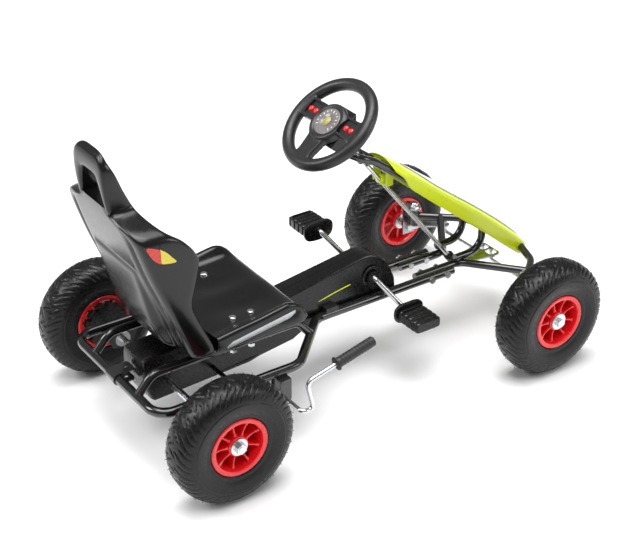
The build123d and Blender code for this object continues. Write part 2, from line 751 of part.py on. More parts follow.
# ---- pedals ----
for name, side in sides:
    x, z = pedal_points[name]
    flange_plane = Plane(origin=(x, side * pedal_offset, z), x_dir=(1, 0, 0), z_dir=(0, side, 0))
    with BuildPart() as pedal:
        with BuildSketch(flange_plane):
            SlotCenterToCenter(30, 46)
        extrude(amount=flange_thickness)
        with BuildSketch(flange_plane.offset(flange_thickness)):
            RectangleRounded(pedal_width, pedal_thickness, 8)
        extrude(amount=pedal_length - flange_thickness)
        with BuildSketch(flange_plane):
            Circle(crank_rod / 2 + shaft_gap)
        extrude(amount=pedal_length - 5.5, mode=Mode.SUBTRACT)
    save(pedal.part, f"pedal_{name}")

# ---- hand brake ----
brake_route = [(ahead(brake_x), -138, brake_height), (ahead(brake_x), -brake_arm_y - 3, brake_height),
               (ahead(brake_x + 28), -brake_arm_y - 3, brake_height - 3),
               (ahead(brake_x + 14), -brake_arm_y, brake_height + 63),
               (ahead(350), -brake_arm_y, 209)]
brake_lever = bent_bar(brake_route, [10, 10, 14], brake_rod)
save(brake_lever, "brake_lever")
grip_length = 95
grip_end = Vector(*brake_route[-1])
grip_way = (grip_end - Vector(*brake_route[-2])).normalized()
with BuildPart() as brake_grip:
    with BuildSketch(Plane(origin=grip_end - grip_way * (grip_length - 3), z_dir=grip_way)):
        Circle(15)
    extrude(amount=4)
    with BuildSketch(Plane(origin=grip_end - grip_way * (grip_length - 7), z_dir=grip_way)):
        Circle(11)
    extrude(amount=grip_length - 4)
    add(brake_lever, mode=Mode.SUBTRACT)
save(brake_grip.part, "brake_grip")

with BuildPart() as brake_bracket:
    for y in (-frame_half_width - 18, -frame_half_width + 14):
        with BuildSketch(Plane(origin=(ahead(brake_x), y, brake_height), x_dir=(1, 0, 0), z_dir=(0, -1, 0))):
            Circle(13)
            with Locations((0, 22)):
                Rectangle(26, 44)
            Circle(brake_rod / 2 + shaft_gap, mode=Mode.SUBTRACT)
        extrude(amount=3)
    with BuildSketch(Plane(origin=(ahead(brake_x), -frame_half_width - 3.5, brake_height + 44))):
        Rectangle(26, 35)
    extrude(amount=-3)
    with BuildSketch(Plane(origin=(ahead(brake_x), -frame_half_width, brake_height + 41))):
        Rectangle(20, 16)
    extrude(amount=12)
    add(side_tubes["right"], mode=Mode.SUBTRACT)
save(brake_bracket.part, "brake_bracket")

# ---- seat ----
centre_plane = Plane(origin=(ahead(0), 0, 0), x_dir=(1, 0, 0), z_dir=(0, -1, 0))
rail_top = rail_height + rail_tube / 2 + 0.2
wing_gap = 128                # inner face of the seat's raised sides
seat_seam = 52                # the back and the pan meet here, forward of the rear axle
seat_underside = 236
front_view = Plane(origin=(ahead(60), 0, 0), x_dir=(0, -1, 0), z_dir=(-1, 0, 0))
with BuildPart() as seat_base:
    with BuildSketch(centre_plane) as pan:
        Polygon((seat_seam + seam, seat_underside), (262, seat_underside), (268, 248), (258, seat_floor),
                (seat_seam + seam, seat_floor - 5), align=None)
        fillet(pan.vertices().group_by(Axis.X)[-1], 5)
    extrude(amount=seat_half_width - 1, both=True)
    with BuildSketch(centre_plane):
        Polygon((seat_seam + seam, seat_underside), (255, seat_underside), (262, 250), (241, 280), (214, 296),
                (204, 290), (150, 279), (97, 273), (seat_seam + seam, 268), align=None)
    extrude(amount=seat_half_width, both=True)
    with BuildSketch(Plane(origin=(ahead(158), 0, 330))):
        Ellipse(118, 122)
    extrude(amount=seat_floor - 0.5 - 330, mode=Mode.SUBTRACT)
    with BuildSketch(Plane(origin=(ahead(0), 0, seat_floor))):
        with Locations((250, 0)):
            Rectangle(100, 150)
        with Locations((60, 0)):
            Rectangle(100, 2 * wing_gap)
    extrude(amount=60, mode=Mode.SUBTRACT)
    with BuildSketch(Plane(origin=(ahead(150), 0, seat_underside))):
        RectangleRounded(194, 210, 12)
        Rectangle(200, 132, mode=Mode.SUBTRACT)
    extrude(amount=rail_top - seat_underside)
    with Locations(*[(ahead(x), side * rail_half_gap, seat_floor) for x in seat_bolts_x for name, side in sides]):
        Hole(seat_bolt / 2)
save(seat_base.part, "seat_base")

seat_rear = [(-6, 240), (-43, 337), (-80, 432), (-110, 532), (-120, 590), (-122, 640), (-112, 662)]
seat_front = [(-98, 662), (-80, 600), (-84, 532), (-54, 440), (-16, 345), (36, seat_floor), (seat_seam, seat_floor - 5),
              (seat_seam, seat_underside), (0, seat_underside)]
wing_outline = [(-6, 240), (-43, 337), (-80, 432), (-100, 520), (-71, 540), (-10, 500), (14, 472), (22, 451),
                (8, 390), (2, 362), (25, 301), (37, 274), (seat_seam, 268), (seat_seam, seat_underside), (0, seat_underside)]
headrest_half = 60
with BuildPart() as seat_back:
    with BuildSketch(centre_plane):
        Polygon(*seat_rear, *seat_front, align=None)
    extrude(amount=seat_half_width, both=True)
    with BuildSketch(front_view):
        with BuildLine():
            right_side = Polyline((0, 200), (-150, 200), (-150, 505), (-135, 520), (-80, 528), (-headrest_half, 548),
                                  (-headrest_half, 632), (-46, 662), (0, 666))
            mirror(right_side, about=Plane.YZ)
        make_face()
    extrude(amount=240, mode=Mode.INTERSECT)
    for start in (wing_gap, -seat_half_width):
        with BuildSketch(centre_plane.offset(start)):
            Polygon(*wing_outline, align=None)
        extrude(amount=seat_half_width - wing_gap)
    with BuildSketch(centre_plane.offset(-88)):
        Polygon((0, 240), (-30, 240), (-52, 300), (-66, 360), (-84, 431), (-50, 400), align=None)
    extrude(amount=2 * 88)
    with BuildSketch(front_view):
        Polygon((-46, 559), (46, 559), (29, 611), (-29, 611), align=None)
    extrude(amount=240, mode=Mode.SUBTRACT)
save(seat_back.part, "seat_back")

# Seat bolts: dome heads on the pan, nuts below the rails.
bolts = []
for x in seat_bolts_x:
    for name, side in sides:
        with BuildPart() as bolt:
            with BuildSketch(Plane(origin=(ahead(x), side * rail_half_gap, rail_height - rail_tube / 2 - 6))):
                Circle(seat_bolt / 2)
            extrude(amount=seat_floor - rail_height + rail_tube / 2 + 6)
            with BuildSketch(Plane(origin=(ahead(x), side * rail_half_gap, seat_floor - 0.4))):
                Circle(8)
            extrude(amount=5)
            fillet(bolt.edges().filter_by(GeomType.CIRCLE).sort_by(Axis.Z)[-1], 3.5)
            with BuildSketch(Plane(origin=(ahead(x), side * rail_half_gap, rail_height - rail_tube / 2 - 6.5))):
                RegularPolygon(7.5, 6)
            extrude(amount=6.5)
        bolts.append(bolt.part)
save(Compound(children=bolts), "seat_bolts")

# ---- hood: a thin shell over the steering support ----
crest_line = ((548, 466), (600, 430), (655, 391), (700, 359), (773, 305), (850, 248), (907, 192), (945, 150))
crease_line = ((548, 453), (600, 420), (655, 378), (700, 343), (773, 291), (850, 227), (907, 180), (945, 142))


def hood_solid(inset):
    """Hood volume moved inward by inset: domed sections joined lengthwise."""
    half = hood_half_width - inset
    with BuildPart() as volume:
        for (x, crest), (unused, crease) in zip(crest_line, crease_line):
            top = crest - inset * 1.25
            edge = crease - inset * 1.25
            with BuildSketch(Plane(origin=(ahead(x), 0, 0), x_dir=(0, 1, 0), z_dir=(1, 0, 0))):
                with BuildLine():
                    Polyline((-half, edge), (-half, 100), (half, 100), (half, edge))
                    ThreePointArc((half, edge), (0, top), (-half, edge))
                make_face()
        loft(ruled=True)
    return volume.part


bow_crossing = 902            # the front beam passes under the hood's skirts here
clip_half_width = support_half_gap - support_tube / 2 - 0.2
hood_inner = hood_solid(hood_wall)
hood_outer = hood_solid(0)
with BuildPart() as hood:
    add(hood_outer)
    with BuildSketch(centre_plane):
        Polygon((545, 455), (573, 411), (661, 340), (776, 250), (898, 146), (950, 140), (950, 480), (540, 480),
                align=None)
    extrude(amount=80, both=True, mode=Mode.INTERSECT)
    with BuildSketch(Plane(origin=(ahead(0), 0, 100))):
        with BuildLine():
            Polyline((540, -70), (918, -70), (918, -hood_half_width))
            ThreePointArc((918, -hood_half_width), (nose_reach, 0), (918, hood_half_width))
            Polyline((918, hood_half_width), (918, 70), (540, 70), (540, -70))
        make_face()
    extrude(amount=400, mode=Mode.INTERSECT)
    add(hood_inner, mode=Mode.SUBTRACT)
    with BuildSketch(centre_plane.offset(-hood_half_width - 5)):
        with Locations((bow_crossing, beam_height)):
            Circle(front_tube / 2 + 1.5)
        with Locations((bow_crossing, beam_height - 20)):
            Rectangle(front_tube + 3, 40)
    extrude(amount=2 * hood_half_width + 10, mode=Mode.SUBTRACT)
    with BuildSketch(centre_plane.offset(-clip_half_width)):
        Polygon((540, 400), (563, 400), (563, 452.5), (548, 463.5), (540, 455), align=None)
    extrude(amount=2 * clip_half_width)
    with BuildSketch(centre_plane.offset(-clip_half_width + 3)):
        Polygon((530, 418), (570, 418), (570, 470), (530, 470), align=None)
    extrude(amount=2 * clip_half_width - 6, mode=Mode.SUBTRACT)
    with BuildSketch(Plane(origin=down_shaft(180), z_dir=axis_down)):
        Circle(steering_shaft_diameter / 2 + 1.5)
    extrude(amount=80, mode=Mode.SUBTRACT)
save(hood.part, "hood")

# ---- small frame hardware ----
splice_bolts = []
for x in splice_bolts_x:
    for name, side in sides:
        with BuildPart() as bolt:
            with BuildSketch(Plane(origin=(ahead(x), side * (inner_tube_y - front_tube / 2 - 4), frame_height),
                                   z_dir=(0, side, 0))):
                RegularPolygon(7.5, 6)
            extrude(amount=4)
            with BuildSketch(Plane(origin=(ahead(x), side * (inner_tube_y - front_tube / 2), frame_height),
                                   z_dir=(0, side, 0))):
                Circle(splice_bolt / 2)
            extrude(amount=frame_tube + front_tube)
            with BuildSketch(Plane(origin=(ahead(x), side * (spine_half_gap + frame_tube / 2), frame_height),
                                   z_dir=(0, side, 0))):
                RegularPolygon(8, 6)
            extrude(amount=6)
        splice_bolts.append(bolt.part)
save(Compound(children=splice_bolts), "frame_bolts")

clamps = []
for name, side in sides:
    with BuildPart() as lug:
        with BuildSketch(Plane(origin=(ahead(387), side * (guard_front_half + 9), frame_height))):
            Rectangle(30, 18)
        extrude(amount=18)
        add(side_tubes[name], mode=Mode.SUBTRACT)
        add(guards[name], mode=Mode.SUBTRACT)
    clamps.append(lug.part.solids().sort_by(SortBy.VOLUME)[-1])
save(Compound(children=clamps), "guard_clamps")
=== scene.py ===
import bpy
import bmesh
import json
import math
from mathutils import Matrix, Vector, noise


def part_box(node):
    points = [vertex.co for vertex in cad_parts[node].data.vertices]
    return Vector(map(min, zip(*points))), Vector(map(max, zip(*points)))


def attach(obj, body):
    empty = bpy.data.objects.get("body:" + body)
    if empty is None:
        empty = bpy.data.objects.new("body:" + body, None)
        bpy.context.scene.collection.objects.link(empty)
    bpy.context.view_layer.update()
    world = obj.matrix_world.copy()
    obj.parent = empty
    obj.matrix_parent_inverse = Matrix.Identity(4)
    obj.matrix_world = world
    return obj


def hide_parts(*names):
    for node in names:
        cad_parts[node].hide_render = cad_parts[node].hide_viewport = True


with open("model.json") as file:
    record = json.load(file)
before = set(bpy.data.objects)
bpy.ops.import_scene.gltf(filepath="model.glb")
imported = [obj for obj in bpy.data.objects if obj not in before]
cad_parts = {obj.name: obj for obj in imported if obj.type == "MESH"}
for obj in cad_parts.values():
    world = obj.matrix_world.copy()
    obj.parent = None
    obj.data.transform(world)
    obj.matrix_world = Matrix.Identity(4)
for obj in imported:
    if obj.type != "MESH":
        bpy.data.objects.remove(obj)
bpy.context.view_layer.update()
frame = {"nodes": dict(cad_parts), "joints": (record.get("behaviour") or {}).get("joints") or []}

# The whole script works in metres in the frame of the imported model. MM turns
# millimetres forward of the rear axle, left of centre and above the ground
# into that frame.
joints = {j["name"]: j for j in frame["joints"]}
AXLE = Vector(joints["rear_axle_spin"]["pos_m"])


def MM(x, y, z):
    return Vector((AXLE.x + x / 1000, y / 1000, z / 1000))


# ---------------------------------------------------------------- materials
def node_material(name, colour, rough, metal=0.0, grain=0.0, grain_scale=900.0, coarse=0.0,
                  coarse_scale=60.0, vary=0.1, rough_vary=0.1, wear=0.0, coat=0.0, specular=0.5):
    """Procedural finish: colour and roughness drift, grain and coarse bump, pale worn edges."""
    material = bpy.data.materials.new(name)
    material.use_nodes = True
    tree = material.node_tree
    bsdf = tree.nodes["Principled BSDF"]
    bsdf.inputs["Metallic"].default_value = metal
    bsdf.inputs["Coat Weight"].default_value = coat
    bsdf.inputs["Coat Roughness"].default_value = 0.08
    bsdf.inputs["Specular IOR Level"].default_value = specular
    place = tree.nodes.new("ShaderNodeTexCoord")

    def noise_node(scale, detail=4.0):
        node = tree.nodes.new("ShaderNodeTexNoise")
        node.inputs["Scale"].default_value = scale
        node.inputs["Detail"].default_value = detail
        tree.links.new(place.outputs["Object"], node.inputs["Vector"])
        return node

    def ramp(source, low, high):
        node = tree.nodes.new("ShaderNodeMapRange")
        node.inputs["From Min"].default_value = 0.3
        node.inputs["From Max"].default_value = 0.7
        node.inputs["To Min"].default_value = low
        node.inputs["To Max"].default_value = high
        tree.links.new(source, node.inputs["Value"])
        return node.outputs["Result"]

    drift = noise_node(14.0)
    fine = noise_node(160.0)
    shade = tree.nodes.new("ShaderNodeHueSaturation")
    shade.inputs["Color"].default_value = (*colour, 1.0)
    tree.links.new(ramp(drift.outputs["Fac"], 1 - vary, 1 + vary), shade.inputs["Value"])
    last = shade.outputs["Color"]
    if wear:
        geometry = tree.nodes.new("ShaderNodeNewGeometry")
        edge = tree.nodes.new("ShaderNodeMapRange")
        edge.inputs["From Min"].default_value = 0.54
        edge.inputs["From Max"].default_value = 0.72
        tree.links.new(geometry.outputs["Pointiness"], edge.inputs["Value"])
        amount = tree.nodes.new("ShaderNodeMath")
        amount.operation = "MULTIPLY"
        amount.inputs[1].default_value = wear
        tree.links.new(edge.outputs["Result"], amount.inputs[0])
        mix = tree.nodes.new("ShaderNodeMix")
        mix.data_type = "RGBA"
        pale = tuple(min(1.0, c * 1.6 + 0.06) for c in colour)
        mix.inputs[7].default_value = (*pale, 1.0)
        tree.links.new(amount.outputs[0], mix.inputs[0])
        tree.links.new(last, mix.inputs[6])
        last = mix.outputs[2]
    tree.links.new(last, bsdf.inputs["Base Color"])
    tree.links.new(ramp(fine.outputs["Fac"], max(0.02, rough - rough_vary), rough + rough_vary),
                   bsdf.inputs["Roughness"])
    # Each bump layer feeds the next.
    normal = None
    for strength, scale in ((grain, grain_scale), (coarse, coarse_scale)):
        if strength:
            texture = noise_node(scale, 2.0)
            bump = tree.nodes.new("ShaderNodeBump")
            bump.inputs["Strength"].default_value = strength
            bump.inputs["Distance"].default_value = 0.0006
            tree.links.new(texture.outputs["Fac"], bump.inputs["Height"])
            if normal is not None:
                tree.links.new(normal, bump.inputs["Normal"])
            normal = bump.outputs["Normal"]
    if normal is not None:
        tree.links.new(normal, bsdf.inputs["Normal"])
    return material


paint_black = node_material("paint_black", (0.006, 0.006, 0.0065), 0.16, coat=0.6, coarse=0.12,
                            coarse_scale=220.0, rough_vary=0.05, wear=0.25)
zinc = node_material("zinc", (0.62, 0.63, 0.64), 0.22, metal=1.0, grain=0.12, grain_scale=500.0,
                     rough_vary=0.08, vary=0.12)
zinc_dull = node_material("zinc_dull", (0.45, 0.46, 0.47), 0.34, metal=1.0, grain=0.2, rough_vary=0.1, vary=0.2)
rubber = node_material("rubber", (0.0035, 0.0035, 0.004), 0.34, specular=0.3, grain=0.06,
                       grain_scale=1400.0, coarse=0.1,
                       coarse_scale=90.0, vary=0.25, rough_vary=0.12, wear=0.35)
rim_red = node_material("rim_red", (0.72, 0.008, 0.012), 0.24, coat=0.35, grain=0.05, rough_vary=0.06,
                        vary=0.06)
lime = node_material("lime", (0.56, 0.66, 0.0), 0.3, coat=0.2, grain=0.02, grain_scale=700.0, rough_vary=0.04,
                     vary=0.03, wear=0.08)
seat_plastic = node_material("seat_plastic", (0.004, 0.004, 0.0044), 0.22, specular=0.42, grain=0.02,
                             grain_scale=600.0,
                             rough_vary=0.05, vary=0.15, wear=0.15)
trim_plastic = node_material("trim_plastic", (0.004, 0.004, 0.0044), 0.26, specular=0.36, grain=0.03,
                             grain_scale=600.0,
                             rough_vary=0.08, vary=0.15, wear=0.25)
wheel_plastic = node_material("wheel_plastic", (0.014, 0.014, 0.0145), 0.36, specular=0.45, grain=0.08,
                              grain_scale=1700.0,
                              rough_vary=0.08, vary=0.12, wear=0.2)
button_red = node_material("button_red", (0.75, 0.01, 0.012), 0.14, coat=0.6, rough_vary=0.04, vary=0.05)
grip_rubber = node_material("grip_rubber", (0.015, 0.015, 0.015), 0.5, grain=0.3, vary=0.15, wear=0.2)
# The white and the grey below also colour the hood's top band, where they are partly painted highlight; the white
# also prints the dial ticks.
white_print_and_sheen = node_material("white_print_and_sheen", (0.78, 0.79, 0.8), 0.28, grain=0.04, rough_vary=0.05, vary=0.03)
grey_sticker_and_sheen = node_material("grey_sticker_and_sheen", (0.3, 0.31, 0.33), 0.3, grain=0.04, rough_vary=0.05, vary=0.1)
red_film = node_material("red_film", (0.6, 0.05, 0.04), 0.3, grain=0.04, vary=0.08)
yellow_film = node_material("yellow_film", (0.72, 0.6, 0.06), 0.3, grain=0.04, vary=0.08)
dial_gold = node_material("dial_gold", (0.38, 0.34, 0.12), 0.3, vary=0.15)
stripe_film = node_material("stripe_film", (0.5, 0.52, 0.53), 0.3, grain=0.04, vary=0.06)
lime_film = node_material("lime_film", (0.68, 0.78, 0.03), 0.3, grain=0.04, vary=0.04)


# ---------------------------------------------------------------- mesh helpers
def new_object(name, vertices, faces, material, body, smooth=True):
    mesh = bpy.data.meshes.new(name)
    mesh.from_pydata([tuple(v) for v in vertices], [], faces)
    mesh.validate()
    tidy = bmesh.new()
    tidy.from_mesh(mesh)
    bmesh.ops.remove_doubles(tidy, verts=tidy.verts, dist=1e-6)
    bmesh.ops.recalc_face_normals(tidy, faces=tidy.faces)
    tidy.to_mesh(mesh)
    tidy.free()
    mesh.polygons.foreach_set("use_smooth", [smooth] * len(mesh.polygons))
    mesh.materials.append(material)
    piece = bpy.data.objects.new(name, mesh)
    bpy.context.scene.collection.objects.link(piece)
    if body:
        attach(piece, body)
    return piece


def loft(rings, closed=True, caps=True):
    """Vertices and faces of a skin through rings of equal length."""
    count = len(rings[0])
    vertices = [v for ring in rings for v in ring]
    faces = []
    span = count if closed else count - 1
    for r in range(len(rings) - 1):
        for i in range(span):
            j = (i + 1) % count
            faces.append((r * count + i, r * count + j, (r + 1) * count + j, (r + 1) * count + i))
    if caps and closed:
        faces.append(tuple(range(count)))
        faces.append(tuple((len(rings) - 1) * count + i for i in range(count)))
    return vertices, faces


def lathe(profile, centre, axis, segments=96):
    """Revolve (radius, along) pairs, in millimetres, round an axis through centre."""
    axis = Vector(axis).normalized()
    side = axis.cross(Vector((0, 0, 1)))
    if side.length < 0.1:
        side = axis.cross(Vector((1, 0, 0)))
    side.normalize()
    up = side.cross(axis)
    rings = []
    for k in range(segments):
        a = 2 * math.pi * k / segments
        out = side * math.cos(a) + up * math.sin(a)
        rings.append([centre + out * (r / 1000) + axis * (h / 1000) for r, h in profile])
    rings.append(rings[0])
    return loft(rings, caps=False)


def smooth_value(table, x):
    """Smooth interpolation in a list of (x, value) pairs."""
    if x <= table[0][0]:
        return table[0][1]
    for k in range(len(table) - 1):
        x0, v0 = table[k]
        x1, v1 = table[k + 1]
        if x <= x1:
            t = (x - x0) / (x1 - x0)
            before = table[k - 1] if k else (x0 - (x1 - x0), v0 - (v1 - v0))
            after = table[k + 2] if k + 2 < len(table) else (x1 + (x1 - x0), v1 + (v1 - v0))
            m0 = (v1 - before[1]) / (x1 - before[0]) * (x1 - x0)
            m1 = (after[1] - v0) / (after[0] - x0) * (x1 - x0)
            h = t * t * (3 - 2 * t)
            return (v0 * (1 - h) + v1 * h + m0 * t * (1 - t) ** 2 - m1 * t * t * (1 - t))
    return table[-1][1]


def catmull(points, closed, per=4):
    """Denser points on a smooth curve through the given ones (2 or 3 numbers each)."""
    count = len(points)
    result = []
    spans = count if closed else count - 1
    for i in range(spans):
        p = [points[(i + k - 1) % count] if closed else points[min(max(i + k - 1, 0),
                                                                   count - 1)] for k in range(4)]
        for s in range(per):
            t = s / per
            result.append(tuple(
                0.5 * (2 * b + (c - a) * t + (2 * a - 5 * b + 4 * c - d) * t * t + (3 * b - a - 3 * c + d) * t ** 3)
                for a, b, c, d in zip(*p)))
    if not closed:
        result.append(tuple(points[-1]))
    return result


def modifier(piece, kind, **values):
    m = piece.modifiers.new(kind.lower(), kind)
    for key, value in values.items():
        setattr(m, key, value)
    return m


def bevelled_box(name, centre, size, material, body, rotation=None, width=1.5):
    """Box in millimetres with rounded edges, centred on a point in metres."""
    sx, sy, sz = (s / 2000 for s in size)
    turn = rotation or Matrix.Identity(3)
    corners = [centre + turn @ Vector((x * sx, y * sy, z * sz)) for x in (-1, 1) for y in (-1,
                                                                                           1) for z in (-1, 1)]
    faces = [(0, 1, 3, 2), (4, 6, 7, 5), (0, 4, 5, 1), (2, 3, 7, 6), (0, 2, 6, 4), (1, 5, 7, 3)]
    piece = new_object(name, corners, faces, material, body)
    modifier(piece, "BEVEL", width=width / 1000, segments=3)
    return piece


def dress(node, material):
    """Give a carried CAD node a finish."""
    data = frame["nodes"][node].data
    data.materials.clear()
    data.materials.append(material)


# ---------------------------------------------------------------- CAD nodes that stay
for node in ("rear_hoop", "side_tube_left", "side_tube_right", "seat_rail_left", "seat_rail_right",
             "guard_stays",
             "axle_brackets", "front_tube_left", "front_tube_right", "front_beam", "steering_support",
             "brake_bracket", "hitch_bracket"):
    dress(node, paint_black)
for node in ("axle_bearings", "steering_shaft", "frame_bolts", "axle_nuts", "rear_axle", "crank",
             "knuckle_pins_left", "knuckle_pins_right", "tie_rod_left", "tie_rod_right", "brake_lever",
             "hub_rings_front_left", "hub_rings_front_right", "hub_rings_rear_left", "hub_rings_rear_right"):
    dress(node, zinc)
for node in ("rear_sprocket", "crank_sprocket", "chain", "knuckle_left", "knuckle_right"):
    dress(node, zinc_dull)
for node in ("guard_clamps", "steering_bearings", "hub_housing", "drive_disc"):
    dress(node, trim_plastic)

# ---------------------------------------------------------------- tyres
profile_half = [(58.3, 32.6), (62.0, 33.4), (64.5, 35.6), (68.0, 36.6), (72.0, 36.9), (76.0, 38.4),
                (84.0, 41.0),
                (94.0, 42.4), (97.5, 42.3), (99.0, 41.2), (101.0, 41.3), (108.0, 39.4), (115.0, 36.4),
                (121.0, 31.6),
                (125.0, 25.6), (127.6, 18.0), (129.2, 9.0), (129.7, 0.0)]
half_smooth = catmull(profile_half, False, 3)
section = half_smooth + [(r, -h) for r, h in reversed(half_smooth[:-1])]
TYRE_STEPS = 540
SIPES = 24


def sipe_depth(angle, along, radius):
    """How deep the tread is cut at this point, in millimetres."""
    s = along / 40.0
    if radius < 104:
        return 0.0
    best = 0.0
    u = angle / (2 * math.pi) * SIPES
    for shift, low, high, slope, curve, width in (
            (0.0, 0.22, 1.02, 0.25, 0.75, 0.07), (0.5, 0.5, 1.0, 0.3, 0.6, 0.06),
            (0.25, -0.15, 0.34, 0.8, 0.0, 0.06)):
        for mirror_sign in (1, -1):
            m = s * mirror_sign
            if low < m < high:
                phase = u + shift + (0.5 if mirror_sign < 0 else 0.0) + slope * m + curve * m * m
                away = abs(phase - round(phase))
                if away < width:
                    ends = min(1.0, (m - low) / 0.06, (high - m) / 0.06)
                    best = max(best, (1 - (away / width) ** 4) * ends)
    return 2.8 * best


tyre_rings = []
for k in range(TYRE_STEPS):
    a = 2 * math.pi * k / TYRE_STEPS
    ring = []
    for r, h in section:
        cut = sipe_depth(a, h, r)
        ring.append(Vector((math.cos(a) * (r - cut) / 1000, h / 1000, math.sin(a) * (r - cut) / 1000)))
    tyre_rings.append(ring)
tyre_rings.append(tyre_rings[0])
tyre_vertices, tyre_faces = loft(tyre_rings, closed=True, caps=False)

# Moulding whiskers: rows of fine rubber hairs over the tread and side wall.
whisker_rows = [(126.4, 22.0, 34), (119.0, 33.5, 30), (128.8, 11.0, 17), (106.0, 40.2, 24), (86.0, 41.6, 14)]
whisker_vertices, whisker_faces = [], []
for row, (r, h, number) in enumerate(whisker_rows):
    for mirror_sign in (1, -1):
        for k in range(number):
            a = 2 * math.pi * (k + 0.37 * row + (0.5 if mirror_sign < 0 else 0)) / number
            jitter = noise.noise(Vector((k * 1.7, row * 3.1, mirror_sign * 5.3)))
            a += 0.05 * jitter
            tilt = math.atan2(h, (r - 84) * 1.2 if r > 90 else 1.0)
            out = Vector((math.cos(a) * math.cos(tilt), math.sin(tilt) * mirror_sign,
                          math.sin(a) * math.cos(tilt)))
            length = (3.8 if r > 90 else 1.2) * (1 + 0.35 * jitter) / 1000
            root = Vector((math.cos(a) * r, h * mirror_sign, math.sin(a) * r)) / 1000 - out * 0.0006
            if r * math.sin(a) < -104:
                continue
            side = out.orthogonal().normalized()
            other = out.cross(side)
            base = len(whisker_vertices)
            for level, width in ((0.0, 0.8), (1.0, 0.35)):
                for q in range(5):
                    b = 2 * math.pi * q / 5
                    whisker_vertices.append(root + out * length * level
                                            + (side * math.cos(b) + other * math.sin(b)) * width / 1000)
            for q in range(5):
                whisker_faces.append((base + q, base + (q + 1) % 5, base + 5 + (q + 1) % 5, base + 5 + q))
            whisker_faces.append(tuple(base + 5 + q for q in range(5)))


# ---------------------------------------------------------------- rims
def rim_parts():
    """Vertices and faces of one rim about the origin, wheel axis along Y, outer side at +Y."""
    lip = [(53.2, -35.5), (57.0, -36.4), (60.4, -36.2), (61.8, -34.6), (61.6, -33.4), (58.2, -32.6),
           (57.8, -30),
           (57.6, 0), (57.8, 30), (58.2, 32.6), (61.6, 33.4), (61.8, 34.8), (60.2, 36.6), (56.0, 36.8),
           (52.0, 34.8),
           (50.6, 31.0), (50.0, 20.0), (49.4, 0.0), (50.0, -20.0), (51.4, -33.0)]
    vertices, faces = lathe(lip, Vector((0, 0, 0)), (0, 1, 0), 120)
    hub = [(7.4, -30.9), (20.0, -30.9), (21.3, -29.6), (20.4, -10.0), (20.0, 0.0), (20.4, 10.0), (21.3, 29.4),
           (20.0, 30.9), (7.4, 30.9)]
    more, more_faces = lathe(hub, Vector((0, 0, 0)), (0, 1, 0), 72)
    base = len(vertices)
    vertices = list(vertices) + list(more)
    faces = list(faces) + [tuple(base + i for i in f) for f in more_faces]
    number = 9
    for k in range(number):
        a = 2 * math.pi * (k + 0.25) / number
        out = Vector((math.cos(a), 0, math.sin(a)))
        across = Vector((-math.sin(a), 0, math.cos(a)))
        rings = []
        for step in range(9):
            t = step / 8
            radius = 19.0 + (51.5 - 19.0) * t
            flare = 2.4 * (abs(2 * t - 1) ** 3)
            top = 26.5 - 3.5 * math.sin(math.pi * t)
            bottom = -22.0
            w = 1.9 + flare
            ring = [(-w - 0.6, bottom), (w + 0.6, bottom), (w, top - 1.4), (w * 0.6, top), (-w * 0.6, top),
                    (-w, top - 1.4)]
            rings.append([(out * radius + across * q + Vector((0, h, 0))) / 1000 for q, h in ring])
        more, more_faces = loft(rings, closed=True, caps=True)
        base = len(vertices)
        vertices += more
        faces += [tuple(base + i for i in f) for f in more_faces]
    return vertices, faces


rim_vertices, rim_faces = rim_parts()
for end in ("front", "rear"):
    for name, sign in (("left", 1), ("right", -1)):
        body = "rear_drive" if (end, name) == ("rear", "left") else f"wheel_{end}_{name}"
        low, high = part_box(f"tyre_{end}_{name}")
        centre = (low + high) / 2
        turn = Matrix.Rotation(0 if sign > 0 else math.pi, 4, "Z")
        spin = Matrix.Rotation({("front", "left"): 0.4, ("front", "right"): 0.9, ("rear", "left"): 1.3,
                                ("rear", "right"): 0.15}[(end, name)], 4, "Y")
        upright = Matrix.Translation(centre) @ turn
        place = upright @ spin
        tyre = new_object(f"tyre_tread_{end}_{name}", [upright @ v for v in tyre_vertices], tyre_faces,
                          rubber, body)
        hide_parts(f"tyre_{end}_{name}")
        new_object(f"tyre_hairs_{end}_{name}", [upright @ v for v in whisker_vertices], whisker_faces,
                   rubber, body)
        rim = new_object(f"rim_shell_{end}_{name}", [place @ v for v in rim_vertices], rim_faces, rim_red,
                         body)
        modifier(rim, "EDGE_SPLIT", split_angle=math.radians(38))
        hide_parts(f"rim_{end}_{name}")
        # Valve: a short black stem between two spokes.
        stem = upright @ Matrix.Rotation(2.2, 4, "Y")
        shape = [(0.1, 0), (3.6, 0), (3.6, 4), (2.7, 5), (2.7, 16), (3.4, 17), (3.4, 21), (2.4, 22), (0.1, 22)]
        v, f = lathe(shape, Vector((0, 0, 0)), (1, 0, 0.0), 20)
        v = [stem @ (Vector((0.050, 0.012, 0)) - Vector((p.x, 0, 0)) + Vector((0, p.y, p.z))) for p in v]
        new_object(f"valve_{end}_{name}", v, f, trim_plastic, body)

# ---------------------------------------------------------------- seat back
rear_line = [(236, -2), (262, -14), (337, -43), (432, -80), (532, -110), (590, -120), (640, -122),
             (655, -117), (662, -110)]
inner_line = [(236, 50), (262, 38), (300, 8), (345, -16), (440, -54), (500, -72), (532, -82), (560, -86),
              (600, -88),
              (640, -96), (655, -100), (662, -104)]
wing_line = [(236, 51), (262, 44), (274, 38), (301, 25), (340, 8), (362, 1), (381, 7), (419, 17), (451, 22),
             (473, 13),
             (500, -10), (514, -30), (526, -46), (536, -56), (548, -62), (585, -79), (620, -92),
             (645, -103), (662, -106)]
width_line = [(236, 146), (250, 150), (473, 150), (500, 149), (514, 146), (524, 136), (531, 116), (536, 92),
              (541, 72),
              (548, 62), (560, 60), (600, 60), (626, 60), (642, 55), (653, 46), (660, 34), (662, 26)]
pod_line = [(236, 8), (246, 20), (262, 22), (300, 23), (360, 14), (410, 7), (425, 5), (432, 0), (662, 0)]


